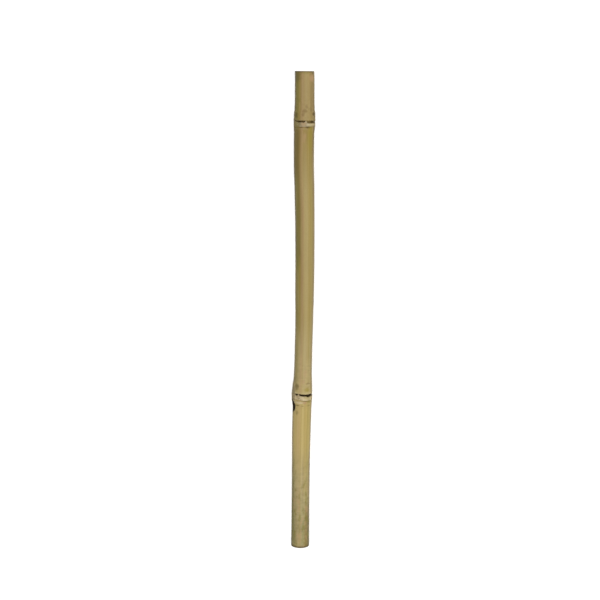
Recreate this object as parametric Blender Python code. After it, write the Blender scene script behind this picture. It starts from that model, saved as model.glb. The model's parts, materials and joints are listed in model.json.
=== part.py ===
"""A bamboo cane: half a metre of dried culm with two joints, sawn square at both ends and lying on its side.

The culm grew as one piece, so it is one solid. It runs along X, from the end that stands at the top of
the picture (-X) to the other (+X). Y is the picture's right, and Z is up. It rests on the flattened
undersides of its two joints. The stretches between a joint and a sawn end are open to the joint's
diaphragm; the middle stretch is closed at both ends, so it is left filled.
"""

import math
from collections import namedtuple

import bmesh
import bpy

MM = 0.001

# Driving dimensions
LENGTH = 500 * MM
SIDES = 48
EDGE_WEAR = 0.35 * MM
REST_FLAT = 0.45 * MM
OVAL = 0.08 * MM

# Places along the cane are distances from its -X end.
# The plain stem's radius, without what the joints add
GIRTH = (
    (0 * MM, 9.82 * MM),
    (25 * MM, 9.88 * MM),
    (62 * MM, 10.25 * MM),
    (82 * MM, 10.27 * MM),
    (150 * MM, 9.92 * MM),
    (222 * MM, 9.70 * MM),
    (285 * MM, 9.12 * MM),
    (345 * MM, 9.80 * MM),
    (365 * MM, 9.78 * MM),
    (425 * MM, 9.38 * MM),
    (500 * MM, 9.70 * MM),
)
# The centre line's swing to the picture's right
SWAY = (
    (0 * MM, 0.00 * MM),
    (48 * MM, 0.50 * MM),
    (68 * MM, 0.15 * MM),
    (120 * MM, 1.15 * MM),
    (222 * MM, 2.25 * MM),
    (290 * MM, 1.60 * MM),
    (350 * MM, 0.62 * MM),
    (410 * MM, 0.00 * MM),
    (500 * MM, 0.00 * MM),
)
# The centre line's height where the cane arches clear of the surface; at the joints it follows from
# REST_FLAT, the depth of the flat that each has worn on its underside
ARCH = (
    (0 * MM, 10.45 * MM),
    (222 * MM, 10.55 * MM),
    (500 * MM, 10.35 * MM),
)

# A stretch of a joint's crack that stands open: the angles from the top towards +Y at which it starts to
# open, is open, starts to close and is closed, how wide it is along the cane, and the share of the
# crack's depth that it has
Gape = namedtuple("Gape", "opens open_from open_to closes width deep")

# A joint, from the -X side: the stem flares, carries the collar that is left of the leaf sheath, ends in
# a rim over a crack, and goes on in a corky ring, a fine furrow and a shoulder. at is the rim's edge,
# slant is how much nearer to +X it lies on the +Y side than on top, ring_end is the far edge of the corky
# ring, past the rim, and swell is how much further the twig's side stands out.
Joint = namedtuple(
    "Joint",
    "at slant flare flare_length collar collar_length crack_depth cork ring_end "
    "furrow shoulder shoulder_length gapes swell",
)
UPPER_JOINT = Joint(
    at=48.9 * MM,
    slant=0.0,
    flare=0.40 * MM,
    flare_length=27 * MM,
    collar=0.38 * MM,
    collar_length=9.2 * MM,
    crack_depth=2.0 * MM,
    cork=0.66 * MM,
    ring_end=6.5 * MM,
    furrow=0.25 * MM,
    shoulder=0.50 * MM,
    shoulder_length=7 * MM,
    gapes=(
        Gape(-80, -30, -3, 8, 2.0 * MM, 1.0),
        Gape(6, 17, 40, 50, 2.8 * MM, 0.2),
        Gape(34, 44, 60, 88, 2.3 * MM, 1.0),
        Gape(50, 64, 95, 120, 2.3 * MM, 0.3),
        Gape(150, 170, 195, 215, 1.7 * MM, 0.9),
    ),
    swell=0.0,
)
LOWER_JOINT = Joint(
    at=331.6 * MM,
    slant=0.4 * MM,
    flare=0.46 * MM,
    flare_length=25 * MM,
    collar=0.05 * MM,
    collar_length=11 * MM,
    crack_depth=2.4 * MM,
    cork=0.55 * MM,
    ring_end=6.4 * MM,
    furrow=0.20 * MM,
    shoulder=0.40 * MM,
    shoulder_length=11 * MM,
    gapes=(
        Gape(-29, -13, 52, 84, 2.3 * MM, 1.0),
        Gape(14, 32, 52, 84, 3.2 * MM, 1.0),
        Gape(50, 64, 95, 120, 2.8 * MM, 0.35),
        Gape(-52, -42, -33, -24, 2.2 * MM, 0.9),
        Gape(130, 150, 185, 205, 1.9 * MM, 0.9),
    ),
    swell=0.25 * MM,
)
JOINTS = (UPPER_JOINT, LOWER_JOINT)
CLOSED_CRACK = 0.4 * MM
CLOSED_DEPTH = 0.1
SWELL_SIDE = -88
SWELL_HALF_WIDTH = 55
SWELL_LENGTH = 17 * MM

# The stub of a twig, cut off close: a swelling against the lower joint with a steep cut end, and the
# hollow under the cut, which runs out along the stem
STUB_SIDE = -74
STUB_START = 318 * MM
STUB_END = 341.5 * MM
STUB_HEIGHT = 0.75 * MM
STUB_HALF_WIDTH = 36
STUB_CUT = 1.6 * MM
HOLLOW_SIDE = -66
HOLLOW_START = 338.8 * MM
HOLLOW_DEEPEST = 345.5 * MM
HOLLOW_END = 354 * MM
HOLLOW_DEPTH = 1.7 * MM
HOLLOW_HALF_WIDTH = 26

# The hollow behind each sawn end, to the diaphragm at the joint
LUMEN_RADIUS = 5.3 * MM
LUMEN_NARROWS = 0.5 * MM
LUMEN_CORNER = 3.0 * MM
DIAPHRAGM = 3.0 * MM
# The rings of a diaphragm's hollowed face, as turns of a quarter circle from its middle
DIAPHRAGM_TURNS = (20, 45, 70, 90)

# Rings round a joint: those in its crack, as shares of the crack's width, and the others, in millimetres
# past its rim. Elsewhere no two rings are further apart than the longest step.
CRACK_RINGS = (0, 0.12, 0.5, 0.88, 1)
JOINT_RINGS = (
    -27, -18, -12.5, -10, -8.5, -5, -1.5, 3.4, 4.4, 5.6, 6.3, 7.2, 8.4, 9.8, 11.5, 13.5, 17, 22,
)
LONGEST_STEP = 15 * MM


def smooth_step(value, low, high):
    """0 at low and beyond it, 1 at high and beyond it, and a smooth rise between them."""
    share = min(max((value - low) / (high - low), 0.0), 1.0)
    return share * share * (3 - 2 * share)


def bell(value, centre, half_width):
    """1 at the centre, falling smoothly to 0 half a width away."""
    share = min(abs(value - centre) / half_width, 1.0)
    return (1 - share * share) ** 2


def turned(angle, side):
    """The angle from a side of the cane, between -180 and 180 degrees."""
    return (angle - side + 180) % 360 - 180


def along(points, place):
    """The value at a place of a smooth curve (Catmull-Rom) through (place, value) points."""
    last = len(points) - 2
    i = next((n for n in range(last) if place < points[n + 1][0]), last)
    (x1, y1), (x2, y2) = points[i], points[i + 1]
    x0, y0 = points[max(i - 1, 0)]
    x3, y3 = points[min(i + 2, last + 1)]
    span = x2 - x1
    slope1 = (y2 - y0) / (x2 - x0) * span
    slope2 = (y3 - y1) / (x3 - x1) * span
    t = (place - x1) / span
    return (
        (2 * t**3 - 3 * t**2 + 1) * y1
        + (t**3 - 2 * t**2 + t) * slope1
        + (3 * t**2 - 2 * t**3) * y2
        + (t**3 - t**2) * slope2
    )


def openness(gape, angle):
    """How far a gape stands open on a side, from 0 to 1."""
    middle = (gape.open_from + gape.open_to) / 2
    away = middle + turned(angle, middle)
    return smooth_step(away, gape.opens, gape.open_from) * smooth_step(away, gape.closes, gape.open_to)


def rim(joint, angle):
    """The place of a joint's rim on a side."""
    return joint.at + joint.slant * math.sin(math.radians(angle))


def crack_width(joint, angle):
    """How wide a joint's crack is along the cane on a side."""
    return max(CLOSED_CRACK, *(gape.width * openness(gape, angle) for gape in joint.gapes))


def joint_relief(joint, place, angle):
    """How far a joint stands out of the plain stem, or is cut into it, at a place and side."""
    past = place - rim(joint, angle)
    end = joint.ring_end
    stem = joint.flare * smooth_step(past, -joint.flare_length, 0) ** 1.5
    stem += joint.collar * smooth_step(past, -joint.collar_length - 1.2 * MM, 1.2 * MM - joint.collar_length)
    cork = joint.cork * smooth_step(past, end + 0.5 * MM, end - 0.5 * MM)
    cork += (
        joint.shoulder
        * smooth_step(past, end - 0.3 * MM, end + 0.3 * MM)
        * smooth_step(past, end + joint.shoulder_length, end)
    )
    cork -= joint.furrow * bell(past, end + 0.2 * MM, 0.8 * MM)

    across = past / crack_width(joint, angle)
    beyond = smooth_step(across, 0, 1)
    relief = stem * (1 - beyond) + cork * beyond
    depth = max(CLOSED_DEPTH, *(gape.deep * openness(gape, angle) for gape in joint.gapes))
    relief -= joint.crack_depth * depth * smooth_step(abs(across - 0.5), 0.5, 0.38)
    leaning = bell(turned(angle, SWELL_SIDE), 0, SWELL_HALF_WIDTH)
    return relief + joint.swell * leaning * bell(past, 0, SWELL_LENGTH)


def stub_relief(place, angle):
    """The cut twig's stub on the lower joint, and the hollow that starts in its cut and runs on from it."""
    across = bell(turned(angle, STUB_SIDE), 0, STUB_HALF_WIDTH) ** 0.6
    grown = smooth_step(place, STUB_START, STUB_END - 6 * MM)
    cut = smooth_step(place, STUB_END + STUB_CUT, STUB_END)
    stub = STUB_HEIGHT * across * grown * cut
    across = bell(turned(angle, HOLLOW_SIDE), 0, HOLLOW_HALF_WIDTH)
    deepens = smooth_step(place, HOLLOW_START, HOLLOW_DEEPEST)
    runs_out = smooth_step(place, HOLLOW_END, HOLLOW_DEEPEST)
    return stub - HOLLOW_DEPTH * across * deepens * runs_out


def skin_radius(place, angle):
    """The outside's radius at a place along the cane and an angle from the top towards +Y."""
    radius = along(GIRTH, place) + OVAL * math.cos(math.radians(2 * angle))
    radius += sum(joint_relief(joint, place, angle) for joint in JOINTS)
    return radius + stub_relief(place, angle)


def rise(place):
    """The centre line's height above the surface."""
    rests = [(joint.at, skin_radius(joint.at - 2 * MM, 180) - REST_FLAT) for joint in JOINTS]
    return along(sorted([*ARCH, *rests]), place)


def ring(place_at, radius_at):
    """The points of one ring round the centre line, none of them below the surface it lies on. place_at
    gives the place on each side, and radius_at the radius at a place and side."""
    points = []
    for side in range(SIDES):
        angle = 360 * side / SIDES
        place = place_at(angle)
        radius = radius_at(place, angle)
        turn = math.radians(angle)
        points.append((
            place - LENGTH / 2,
            along(SWAY, place) + radius * math.sin(turn),
            max(rise(place) + radius * math.cos(turn), 0.0),
        ))
    return points


def joint_rings(joint):
    """The skin's rings round a joint, each following its rim, and in the crack also the crack's width."""
    rings = [(offset * MM, 0) for offset in JOINT_RINGS if offset < 0]
    rings += [(0, share) for share in CRACK_RINGS]
    rings += [(offset * MM, 0) for offset in JOINT_RINGS if offset > 0]

    def place_at(angle, past, share):
        return rim(joint, angle) + past + share * crack_width(joint, angle)

    return [
        ring(lambda angle, past=past, share=share: place_at(angle, past, share), skin_radius)
        for past, share in rings
    ]


def plain_rings(low, high):
    """The skin's evenly spaced rings from one place to another, both included."""
    steps = math.ceil((high - low) / LONGEST_STEP)
    places = [low + (high - low) * step / steps for step in range(steps + 1)]
    return [ring(lambda angle, at=place: at, skin_radius) for place in places]


def end_rings(end, diaphragm):
    """The rings of one sawn end, from the middle of the diaphragm out to the end's edge."""
    inward = 1 if diaphragm > end else -1
    rounds = []
    for degrees in DIAPHRAGM_TURNS:
        turn = math.radians(degrees)
        place = diaphragm - inward * LUMEN_CORNER * (1 - math.cos(turn))
        rounds.append((place, (LUMEN_RADIUS - LUMEN_NARROWS) * math.sin(turn)))
    rounds.append(((end + rounds[-1][0]) / 2, LUMEN_RADIUS))
    rounds.append((end, LUMEN_RADIUS))
    rounds.append((end, skin_radius(end + inward * EDGE_WEAR, 0) - EDGE_WEAR))
    return [
        ring(lambda angle, at=at: at, lambda place, angle, wide=wide: wide)
        for at, wide in rounds
    ]


def cane_mesh():
    """The whole culm as one closed mesh: rings from one diaphragm, round the outside, to the other."""
    after_upper = UPPER_JOINT.at + (JOINT_RINGS[-1] + 10) * MM
    before_lower = LOWER_JOINT.at + (JOINT_RINGS[0] - 10) * MM
    rings = end_rings(0.0, UPPER_JOINT.at - DIAPHRAGM)
    rings += plain_rings(EDGE_WEAR, UPPER_JOINT.at + (JOINT_RINGS[0] - 4) * MM)
    rings += joint_rings(UPPER_JOINT)
    rings += plain_rings(after_upper, before_lower)
    rings += joint_rings(LOWER_JOINT)
    rings += plain_rings(LOWER_JOINT.at + (JOINT_RINGS[-1] + 6) * MM, LENGTH - EDGE_WEAR)
    rings += reversed(end_rings(LENGTH, LOWER_JOINT.at + DIAPHRAGM))

    mesh = bmesh.new()
    loops = [[mesh.verts.new(point) for point in points] for points in rings]
    for near, far in zip(loops, loops[1:]):
        for side in range(SIDES):
            after = (side + 1) % SIDES
            mesh.faces.new((near[side], near[after], far[after], far[side]))
    for corners in (loops[0], loops[-1]):
        mesh.faces.new(corners)
    bmesh.ops.recalc_face_normals(mesh, faces=mesh.faces)
    centre = (min(v.co.y for v in mesh.verts) + max(v.co.y for v in mesh.verts)) / 2
    bmesh.ops.translate(mesh, verts=mesh.verts, vec=(0, -centre, 0))
    return mesh


def bamboo_material():
    """Dried, straw-coloured bamboo skin."""
    material = bpy.data.materials.new("dried_bamboo")
    material.use_nodes = True
    shader = material.node_tree.nodes["Principled BSDF"]
    shader.inputs["Base Color"].default_value = (0.42, 0.32, 0.13, 1)
    shader.inputs["Roughness"].default_value = 0.5
    shader.inputs["Metallic"].default_value = 0.0
    return material


def clear_scene():
    """Removes whatever the open file holds."""
    for obj in list(bpy.data.objects):
        bpy.data.objects.remove(obj)


def build():
    """Makes the cane."""
    clear_scene()
    data = bpy.data.meshes.new("cane")
    mesh = cane_mesh()
    mesh.to_mesh(data)
    mesh.free()
    data.shade_smooth()
    data.set_sharp_from_angle(angle=math.radians(40))
    data.materials.append(bamboo_material())
    cane = bpy.data.objects.new("cane", data)
    bpy.context.scene.collection.objects.link(cane)


build()
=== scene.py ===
"""Dresses a cut length of bamboo cane: its skin, joints, twig stub, sawn ends and torn sheath fibres.

The cane lies along X on the floor, and its centre line bows towards +Y between the joints. A place along
the cane is its distance from the -X end, and a side is the angle round it from the top towards +Y, in
degrees. Lengths are in metres where nothing else is said.
"""

import json
import math
from collections import namedtuple
from types import SimpleNamespace

import bpy
from mathutils import Matrix, Vector


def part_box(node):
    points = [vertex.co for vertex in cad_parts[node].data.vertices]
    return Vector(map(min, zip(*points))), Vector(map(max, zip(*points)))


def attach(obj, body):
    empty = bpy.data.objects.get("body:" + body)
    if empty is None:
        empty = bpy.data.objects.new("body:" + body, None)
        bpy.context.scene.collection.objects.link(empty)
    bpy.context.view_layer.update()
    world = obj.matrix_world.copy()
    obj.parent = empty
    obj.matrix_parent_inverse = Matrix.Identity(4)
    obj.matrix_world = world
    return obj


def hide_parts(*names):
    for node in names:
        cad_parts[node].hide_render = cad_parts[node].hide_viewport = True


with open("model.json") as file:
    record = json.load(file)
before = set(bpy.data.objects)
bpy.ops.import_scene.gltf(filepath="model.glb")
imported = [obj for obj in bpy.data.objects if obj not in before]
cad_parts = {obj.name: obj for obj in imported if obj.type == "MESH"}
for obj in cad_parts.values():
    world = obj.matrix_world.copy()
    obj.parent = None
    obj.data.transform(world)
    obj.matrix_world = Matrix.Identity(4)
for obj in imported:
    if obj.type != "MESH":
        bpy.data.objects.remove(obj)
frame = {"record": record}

bl_info = {
    "name": "Bamboo Cane",
    "version": (1, 0, 0),
    "blender": (4, 5, 0),
    "location": "View3D > Sidebar > Cane",
    "description": "Makes a dried bamboo cane with its joints, sawn ends and sheath fibres",
    "category": "Object",
}

MM = 0.001
PER_SQUARE_MM = 1e6
HALF_TURN = 180.0
QUARTER_TURN = 90.0

# The numbers of the Mix node's sockets that mix colours, because it has several of each name
MIX_FACTOR = 0
MIX_FIRST = 6
MIX_SECOND = 7
MIX_RESULT = 2

# The radius of the plain cane on which the noises are laid out, how far a seed moves along them, and how
# far the far joint's lie from the near one's
PLAIN_RADIUS = 10 * MM
SEED_STEP = 0.37
FAR_JOINT_SHIFT = (3.0, 0.0, 0.0)

# The joints' and the stub's marks, which the culm's points carry and the skin's colours follow
MARKS = ("cork", "crack", "rim", "furrow", "scar", "stub", "lip", "hollow")

# The side to which the joint with the twig swells, and how far round, in degrees
TWIG_SIDE = -88.0
TWIG_REACH = 55.0

# A closed crack's depth as a share of an open one's and its width, the depth at which a crack's painted
# shade is darkest, and how far its torn edge moves a gape's sides, in degrees for each metre
CLOSED_DEPTH = 0.1
CLOSED_WIDTH = 0.4 * MM
DARK_DEPTH = 0.4
TORN_TURN = 9e3

# How far before and past its ends a streak fades, in millimetres
FADE = 9

# The angle from which an edge of the mesh shows as sharp, in degrees
SHARP_ANGLE = 50

# How close together the vessels lie in the sawn ends, for each metre, and the saw's waves, in radians for
# each metre
COARSE_VESSELS = 1250.0
CLOSE_VESSELS = 2500.0
SAW_WAVES = 9500

# A torn fibre's sides and steps, its least and largest lean from the skin in radians and its least and
# largest size, and what sets the draw of the sizes apart
FIBRE_SIDES = 5
FIBRE_STEPS = 2
FIBRE_LEAN = ((-0.5, -0.22, -0.35), (0.5, 0.02, 0.35))
FIBRE_SIZE = ((0.4, 0.5, 0.5), (1.0, 1.0, 1.0))
SIZE_SEED = 7

# The camera's sensor, in millimetres
SENSOR_WIDTH = 36

# Half the floor's width, and how far it lies under the cane
FLOOR_HALF = 6.0
FLOOR_GAP = 0.05 * MM

# What the frame gives: the cane's box, and where its centre line leaves the sawn ends
LOW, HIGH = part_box("cane")
LENGTH = HIGH.x - LOW.x
SAWN = {mount["name"]: Vector(mount["pos_m"]) for mount in frame["record"]["mounts"]}
END_SIDE = SAWN["sawn_near"].y

# The plain stem's radius without what the joints add, the centre line's swing towards +Y and its height,
# as places along the cane and values, both in millimetres
GIRTH = (
    (0, 9.82), (25, 9.88), (62, 10.25), (82, 10.27), (150, 9.92), (222, 9.70),
    (285, 9.12), (345, 9.80), (365, 9.78), (425, 9.38), (500, 9.70),
)
SWAY = (
    (0, 0.00), (48, 0.50), (68, 0.15), (120, 1.15), (222, 2.25),
    (290, 1.60), (350, 0.62), (410, 0.00), (500, 0.00),
)
RISE = ((0, 10.45), (48.9, 10.51), (222, 10.55), (331.6, 9.75), (500, 10.35))


def rows(kind, *values):
    """Rows of plain values as named tuples of one kind."""
    return tuple(kind(*row) for row in values)


# A stretch of a joint's crack that stands open: the sides at which it starts to open, is open, starts to
# close and is closed, its width in millimetres, and how deep it is as a share, which also sets how dark
# its painted shade is
Gape = namedtuple("Gape", "opens open_from open_to closes width deep")
NEAR_GAPES = rows(Gape,
    (-80, -30, -3, 8, 2.0, 1.0),
    (6, 17, 40, 50, 2.8, 0.2),
    (34, 44, 60, 88, 2.3, 1.0),
    (50, 64, 95, 120, 2.3, 0.3),
    (150, 170, 195, 215, 1.7, 0.9),
)
FAR_GAPES = rows(Gape,
    (-29, -13, 52, 84, 2.3, 1.0),
    (14, 32, 52, 84, 3.2, 1.0),
    (50, 64, 95, 120, 2.8, 0.35),
    (-52, -42, -33, -24, 2.2, 0.9),
    (130, 150, 185, 205, 1.9, 0.9),
)

# A streak along the skin: its side and half width in degrees, the places in millimetres where it starts
# and ends, how strong it is, and which of the colours it takes
Streak = namedtuple("Streak", "side half_width start end strength colour")
STREAKS = rows(Streak,
    (-82, 26, -20, 192, 0.75, "bark"), (-82, 24, 192, 335, 0.40, "brown"),
    (-50, 26, -20, 205, 0.90, "olive"), (-50, 26, 205, 262, 0.65, "olive"),
    (-66, 18, 100, 185, 0.30, "bark"), (-52, 20, 262, 335, 0.45, "olive"),
    (-40, 18, 58, 104, 0.60, "brown"), (-58, 18, 52, 104, 0.45, "brown"),
    (-31, 13, -20, 270, 0.50, "ochre"), (-34, 15, 50, 190, 0.38, "bark"),
    (-14, 13, -20, 335, 0.40, "rose"), (-18, 15, -20, 290, 0.22, "brown"),
    (30, 14, 54, 296, 0.32, "ochre"), (44, 20, -20, 46, 0.40, "brown"),
    (46, 14, 54, 300, 0.22, "olive"), (74, 20, 80, 335, 0.40, "grey"),
    (72, 16, 335, 450, 0.45, "grey"), (66, 20, -20, 335, 0.45, "brown"),
    (72, 18, 14, 84, 0.45, "bark"), (-78, 20, 335, 520, 0.45, "brown"),
    (-60, 18, 400, 520, 0.55, "olive"), (-64, 22, 426, 520, 0.60, "leaf"),
    (-20, 20, 335, 520, 0.25, "rose"), (-12, 16, 455, 520, 0.35, "pale"),
    (12, 10, 400, 450, 0.22, "brown"), (22, 12, 335, 440, 0.30, "ochre"),
    (44, 18, 455, 520, 0.55, "olive"), (42, 22, 458, 520, 0.45, "brown"),
    (46, 18, 335, 455, 0.28, "olive"), (76, 18, 335, 520, 0.40, "brown"),
    (68, 20, 392, 520, 0.35, "brown"), (68, 20, 452, 520, 0.65, "bark"),
    (130, 22, -20, 520, 0.45, "rose"), (168, 26, -20, 520, 0.55, "olive"),
    (-142, 20, -20, 520, 0.40, "ochre"), (-110, 14, -20, 520, 0.35, "pale"),
)

# A spot on the skin: its place in millimetres and its side, half its length in millimetres and half its
# width in degrees, how strong it is, and its colour
Spot = namedtuple("Spot", "place side half_length half_width strength colour")
SPOTS = rows(Spot,
    (4.0, -52, 6.5, 30, 0.50, "bark"), (1.5, 62, 2.0, 14, 0.50, "bark"),
    (7.0, 46, 3.2, 19, 0.75, "rose"), (1.5, 5, 1.6, 24, 0.40, "olive"),
    (29.0, -36, 2.2, 12, 0.40, "olive"), (34.8, 12, 2.2, 9, 0.50, "brown"),
    (37.5, 34, 1.8, 12, 0.30, "brown"), (39.6, 0, 2.2, 12, 0.55, "brown"),
    (43.2, -7, 1.8, 9, 0.50, "brown"), (42.6, 60, 1.8, 13, 0.80, "speck"),
    (43.6, -50, 2.6, 15, 0.55, "speck"), (52.0, -6, 2.4, 11, 0.50, "rose"),
    # The cork-coloured spot at 53.0 mm on the next line is a painted highlight on the near joint's cork
    (50.9, 42, 1.3, 26, 0.50, "speck"), (53.0, 40, 1.1, 28, 0.60, "cork"),
    (53.0, -55, 3.5, 30, 0.45, "olive"), (55.6, -18, 0.6, 12, 0.50, "speck"),
    (55.7, 21, 1.0, 14, 0.90, "speck"), (66.0, 2, 5.0, 10, 0.40, "rose"),
    (66.0, 38, 14.0, 18, 0.50, "moss"), (310.0, 12, 4.5, 12, 0.35, "rose"),
    (318.6, 5, 2.8, 11, 0.50, "rose"), (320.7, 35, 1.2, 18, 0.50, "brown"),
    (322.2, 36, 1.4, 10, 0.50, "pale"), (323.8, -37, 3.4, 13, 0.55, "speck"),
    # The pale spots at 330.4 and 330.6 mm are a painted highlight along the far joint's rim
    (327.1, 27, 2.0, 18, 0.60, "moss"), (330.4, -36, 0.9, 10, 0.70, "pale"),
    (330.6, 32, 0.8, 22, 0.60, "pale"), (335.6, 30, 2.0, 20, 0.45, "moss"),
    (339.4, 20, 0.6, 24, 0.50, "speck"), (341.0, 14, 1.4, 13, 0.75, "rose"),
    (339.6, 45, 1.6, 15, 0.60, "olive"), (341.0, -20, 1.0, 24, 0.70, "cork"),
    (336.3, -22, 0.7, 6, 0.55, "brown"), (337.4, -8, 0.6, 5, 0.45, "brown"),
    (343.9, -30, 0.7, 13, 0.70, "speck"), (344.3, 2, 0.6, 10, 0.40, "speck"),
    (344.3, 45, 0.7, 12, 0.35, "speck"), (352.0, -33, 2.6, 9, 0.35, "speck"),
    (486.0, 2, 9.0, 7, 0.40, "rose"),
)

# The skin's noises: how fine they are along and across the stem, where in the noise they start, and their
# detail and roughness
SKIN_PATTERNS = {
    "blotch": (24, 95, 2.0, 3.0, 0.6),
    "band": (2.6, 260, 5.0, 2.0, 0.55),
    "fibre": (14, 1900, 0.0, 3.0, 0.6),
    "strand": (7, 620, 4.0, 2.0, 0.5),
    "fine": (300, 1500, 0.0, 4.0, 0.7),
    "mottle": (360, 130, 9.0, 3.0, 0.6),
    "grain": (330, 330, 12.0, 3.0, 0.6),
    "speckle": (620, 760, 18.0, 2.0, 0.6),
    "stain": (120, 230, 15.0, 3.0, 0.6),
    "tuft": (420, 1300, 3.0, 3.0, 0.65),
    "clump": (260, 260, 6.0, 2.0, 0.5),
}

# Where along the cane the skin's ground colour changes, as a share of its length
SKIN_STOPS = (
    (0.0, "near_end"), (0.09, "near_end"), (0.125, "near_joint"), (0.24, "middle"), (0.50, "middle"),
    (0.56, "far_joint"), (0.64, "far_joint"), (0.70, "ripest"), (0.77, "ripest"), (0.85, "fading"),
    (0.95, "far_end"),
)

# Stretches of the skin, in millimetres along the cane: where each starts to show, and where it shows fully
STRETCHES = {
    # The third of these stretches, from 100 to 300 mm, sets how strong the painted highlight on the
    # joints' rims is
    "nearer": (300, 100), "farther": (200, 400), "bleached": (100, 300), "mottled": (380, 470),
    "weathered": (385, 455),
}

# Patches of the skin before the joints, in millimetres: the middle, and half the length
PATCHES = {"grainy": (34, 26), "freckled": (312, 30)}

# The rings of the mesh, from the middle of the near diaphragm to the middle of the far one: the number
# of steps, and the place in millimetres that they lead to. They are close together at the joints.
DOME_STEPS = 5
BORE_STEPS = 7
FACE_STEPS = 8
SKIN_STEPS = (
    (4, 0.5), (3, 1.5), (12, 38), (24, 47.5), (40, 54), (22, 60.5), (10, 66), (60, 300),
    (44, 322), (22, 329), (40, 335.5), (36, 345), (28, 358), (40, 498.5), (3, 499.5), (4, 500),
)


def srgb(red, green, blue):
    """A colour as it looks on screen, 0 to 255, as the linear values that a shader takes."""
    return tuple(
        value / 12.92 if value <= 0.04045 else ((value + 0.055) / 1.055) ** 2.4
        for value in (red / 255, green / 255, blue / 255)
    )


def described(key, text, default, **more):
    """What every property says of itself. Its name comes from its key."""
    return {"name": key.replace("_", " ").capitalize(), "description": text, "default": default, **more}


def lengths(*entries):
    """Lengths that a user may change, given by key, description and millimetres."""
    return {
        key: bpy.props.FloatProperty(**described(key, text, value * MM, unit="LENGTH", precision=5))
        for key, text, value in entries
    }


def angles(*entries):
    """Angles in degrees that a user may change."""
    return {
        key: bpy.props.FloatProperty(**described(key, text + ", in degrees", value))
        for key, text, value in entries
    }


def amounts(*entries):
    """Plain numbers that a user may change, given with their largest value."""
    return {
        key: bpy.props.FloatProperty(**described(key, text, value, min=0, max=largest, precision=3))
        for key, text, value, largest in entries
    }


def counts(*entries):
    """Whole numbers that a user may change, given with their smallest value."""
    return {
        key: bpy.props.IntProperty(**described(key, text, value, min=smallest))
        for key, text, value, smallest in entries
    }


def shades(*entries):
    """Colours that a user may change, given by their levels on screen."""
    return {
        key: bpy.props.FloatVectorProperty(
            **described(key, text, srgb(*levels), subtype="COLOR", min=0, max=1)
        )
        for key, text, *levels in entries
    }


class CaneCulmSizes(bpy.types.PropertyGroup):
    """The stem between its joints, its ends and its hollows."""

    __annotations__ = counts(
        ("sides", "Points in each ring", 216, 24),
        ("seed", "Which of the like canes is made", 4, 0),
    ) | lengths(
        ("oval", "How much taller than wide the stem is, on its radius", 0.08),
        ("ripple", "Height of the slow unevenness of the stem", 0.10),
        ("ridge", "Height of the fine ridges along the stem", 0.045),
        ("edge_wear", "How far the sawn edges are rounded", 0.3),
        ("saw_marks", "Depth of the sawn faces' unevenness", 0.06),
        ("lumen_radius", "Radius of the hollows at the sawn ends", 5.3),
        ("lumen_narrows", "How much narrower the hollows are at the joints", 0.5),
        ("lumen_corner", "Rounding between a hollow and its diaphragm", 3.0),
        ("lumen_wrinkle", "Height of the wrinkles in the hollows' lining", 0.12),
        ("diaphragm", "How far from a joint's rim its diaphragm starts", 3.0),
    )


# A joint's sizes: description, and millimetres at the near and at the far joint
JOINT_SIZES = {
    "at": ("Place of the rim of the old sheath", 48.9, 331.6),
    "slant": ("How much further along the rim lies on the +Y side", 0.0, 0.4),
    "flare": ("How much the stem swells towards the joint", 0.40, 0.46),
    "flare_length": ("How far before the joint the stem starts to swell", 27, 25),
    "collar": ("Height of the collar that the sheath has left", 0.38, 0.05),
    "collar_length": ("Length of that collar", 9.2, 11),
    "crack_depth": ("Depth of the crack where it gapes", 2.0, 2.4),
    "cork": ("Height of the corky ring", 0.66, 0.55),
    "ring_end": ("How far past the rim the corky ring ends", 6.5, 6.4),
    "ring_slant": ("How much further along it ends on the +Y side", 0.0, 0.8),
    "furrow": ("Depth of the furrow after the corky ring", 0.25, 0.20),
    "shoulder": ("Height of the shoulder after the furrow", 0.50, 0.40),
    "shoulder_length": ("How far the shoulder runs out along the stem", 7, 11),
    "scar": ("Height of the fine scar line after the corky ring", 0.04, 0.22),
    "swell": ("How much further the joint stands out on the twig's side", 0.0, 0.25),
    "ragged": ("How far the torn rim wanders", 0.3, 0.3),
}


class CaneNearJoint(bpy.types.PropertyGroup):
    """The joint nearer the -X end."""

    __annotations__ = lengths(*[(key, text, near) for key, (text, near, _) in JOINT_SIZES.items()])


class CaneFarJoint(bpy.types.PropertyGroup):
    """The joint nearer the +X end, which carries the twig's stub."""

    __annotations__ = lengths(*[(key, text, far) for key, (text, _, far) in JOINT_SIZES.items()])


class CaneStubSizes(bpy.types.PropertyGroup):
    """The stub of the twig that was cut off at the far joint."""

    __annotations__ = angles(
        ("side", "Which side it is on", -74),
        ("half_width", "Half its width round the stem", 36),
        ("hollow_side", "Which side its hollow is on", -66),
        ("hollow_half_width", "Half its width round the stem", 26),
    ) | lengths(
        ("start", "Place where the stub starts to rise", 318),
        ("end", "Place of its cut end", 341.5),
        ("height", "How far it stands out", 0.75),
        ("cut", "How steeply it ends", 1.6),
        ("hollow_start", "Place in the cut where the hollow starts", 338.8),
        ("hollow_deepest", "Place where the hollow is deepest", 345.5),
        ("hollow_end", "Place where the hollow has run out", 354),
        ("hollow_depth", "Depth of the hollow", 1.7),
        ("lip", "Height of the corky lip round the stub", 0.26),
    )


class CaneFibreSizes(bpy.types.PropertyGroup):
    """The torn fibres of the old leaf sheaths."""

    __annotations__ = (
        counts(("seed", "Where each fibre grows", 3, 0))
        | amounts(("density", "Fibres on each square millimetre of rim", 0.7, 10))
        | lengths(
            ("length", "Length of the longest", 1.7),
            ("thickness", "Radius at the root", 0.10),
            ("tip", "Radius at the tip", 0.02),
        )
    )


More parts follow.
